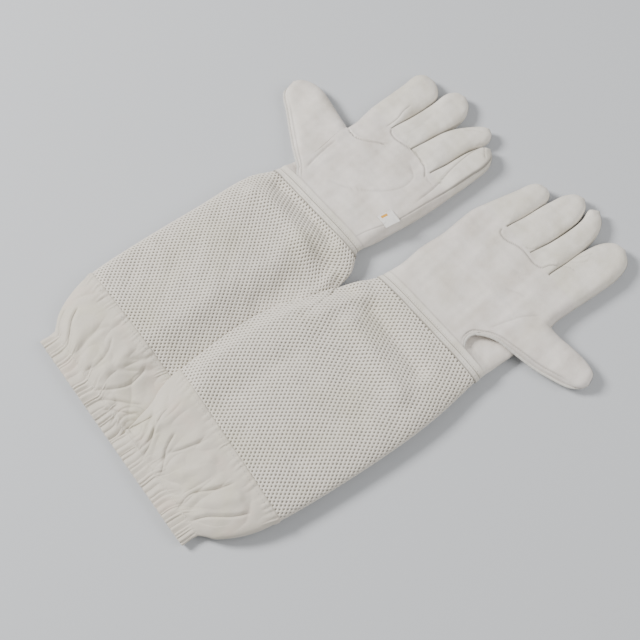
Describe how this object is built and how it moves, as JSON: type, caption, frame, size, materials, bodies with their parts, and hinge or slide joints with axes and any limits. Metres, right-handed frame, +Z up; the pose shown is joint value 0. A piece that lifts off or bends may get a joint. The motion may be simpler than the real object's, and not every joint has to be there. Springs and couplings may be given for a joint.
{
  "type": "beekeeping gloves",
  "caption": "Pair of long ventilated beekeeping gloves with goatskin hands, mesh sleeves and gathered canvas cuffs, lying palm up.",
  "frame": {"origin": "centre of the pair's outline, on the floor it lies on", "axes": "+X from the cuffs to the fingertips, +Y to the left glove, +Z up, out of the palms"},
  "size_m": [0.5225, 0.435, 0.0272],
  "materials": {
    "goat_leather": "smooth white-grey goatskin, soft sheen",
    "spacer_mesh": "off-white three-layer spacer mesh with small oval holes",
    "cotton_canvas": "off-white plain weave canvas, matt",
    "elastic": "woven white elastic",
    "label_cloth": "white woven label, matt"
  },
  "bodies": {
    "left_sleeve": {"left_canvas_cuff": "cotton_canvas", "left_elastic_band": "elastic", "left_mesh_sleeve": "spacer_mesh", "left_wrist_band": "goat_leather"},
    "left_hand": {"left_back_panel": "goat_leather", "left_palm_panel": "goat_leather", "left_sewn_label": "label_cloth", "left_thumb_heel": "goat_leather"},
    "left_thumb": {"left_thumb_back": "goat_leather", "left_thumb_front": "goat_leather", "left_thumb_welt": "goat_leather"},
    "left_index": {"left_index_back": "goat_leather", "left_index_front": "goat_leather", "left_index_strip_little_side": "goat_leather"},
    "left_middle": {"left_middle_back": "goat_leather", "left_middle_front": "goat_leather", "left_middle_strip_little_side": "goat_leather", "left_middle_strip_thumb_side": "goat_leather"},
    "left_ring": {"left_ring_back": "goat_leather", "left_ring_front": "goat_leather", "left_ring_strip_little_side": "goat_leather", "left_ring_strip_thumb_side": "goat_leather"},
    "left_little": {"left_little_back": "goat_leather", "left_little_front": "goat_leather", "left_little_strip_thumb_side": "goat_leather"},
    "right_sleeve": {"right_canvas_cuff": "cotton_canvas", "right_elastic_band": "elastic", "right_mesh_sleeve": "spacer_mesh", "right_wrist_band": "goat_leather"},
    "right_hand": {"right_back_panel": "goat_leather", "right_palm_panel": "goat_leather", "right_thumb_heel": "goat_leather"},
    "right_thumb": {"right_thumb_back": "goat_leather", "right_thumb_front": "goat_leather", "right_thumb_welt": "goat_leather"},
    "right_index": {"right_index_back": "goat_leather", "right_index_front": "goat_leather", "right_index_strip_little_side": "goat_leather"},
    "right_middle": {"right_middle_back": "goat_leather", "right_middle_front": "goat_leather", "right_middle_strip_little_side": "goat_leather", "right_middle_strip_thumb_side": "goat_leather"},
    "right_ring": {"right_ring_back": "goat_leather", "right_ring_front": "goat_leather", "right_ring_strip_little_side": "goat_leather", "right_ring_strip_thumb_side": "goat_leather"},
    "right_little": {"right_little_back": "goat_leather", "right_little_front": "goat_leather", "right_little_strip_thumb_side": "goat_leather"}
  },
  "joints": [
    {"name": "right_sleeve_lift", "type": "slide", "parent": "left_sleeve", "child": "right_sleeve", "axis": [0, 0, 1], "range_m": [0, 0.15]},
    {"name": "left_wrist_bend", "type": "hinge", "parent": "left_sleeve", "child": "left_hand", "pos_m": [0.04065, 0.0822, 0.0214], "axis": [0.0794, -0.9968, 0], "range_deg": [0, 80]},
    {"name": "left_thumb_bend", "type": "hinge", "parent": "left_hand", "child": "left_thumb", "pos_m": [0.08, 0.13395, 0.019], "axis": [0.9874, 0.1583, 0], "range_deg": [0, 80]},
    {"name": "left_index_bend", "type": "hinge", "parent": "left_hand", "child": "left_index", "pos_m": [0.14815, 0.1278, 0.0189], "axis": [0, -1, 0], "range_deg": [0, 85]},
    {"name": "left_middle_bend", "type": "hinge", "parent": "left_hand", "child": "left_middle", "pos_m": [0.14815, 0.095, 0.0189], "axis": [0, -1, 0], "range_deg": [0, 85]},
    {"name": "left_ring_bend", "type": "hinge", "parent": "left_hand", "child": "left_ring", "pos_m": [0.14815, 0.063, 0.0189], "axis": [0, -1, 0], "range_deg": [0, 85]},
    {"name": "left_little_bend", "type": "hinge", "parent": "left_hand", "child": "left_little", "pos_m": [0.14815, 0.0315, 0.0189], "axis": [0, -1, 0], "range_deg": [0, 85]},
    {"name": "right_wrist_bend", "type": "hinge", "parent": "right_sleeve", "child": "right_hand", "pos_m": [0.0549, -0.082, 0.0214], "axis": [0.0721, -0.9974, 0], "range_deg": [0, 80]},
    {"name": "right_thumb_bend", "type": "hinge", "parent": "right_hand", "child": "right_thumb", "pos_m": [0.1095, -0.1327, 0.019], "axis": [-0.8782, 0.4783, 0], "range_deg": [0, 80]},
    {"name": "right_index_bend", "type": "hinge", "parent": "right_hand", "child": "right_index", "pos_m": [0.17315, -0.1292, 0.0189], "axis": [0, -1, 0], "range_deg": [0, 85]},
    {"name": "right_middle_bend", "type": "hinge", "parent": "right_hand", "child": "right_middle", "pos_m": [0.17315, -0.0944, 0.0189], "axis": [0, -1, 0], "range_deg": [0, 85]},
    {"name": "right_ring_bend", "type": "hinge", "parent": "right_hand", "child": "right_ring", "pos_m": [0.17315, -0.0623, 0.0189], "axis": [0, -1, 0], "range_deg": [0, 85]},
    {"name": "right_little_bend", "type": "hinge", "parent": "right_hand", "child": "right_little", "pos_m": [0.17315, -0.0271, 0.0189], "axis": [0, -1, 0], "range_deg": [0, 85]}
  ]
}
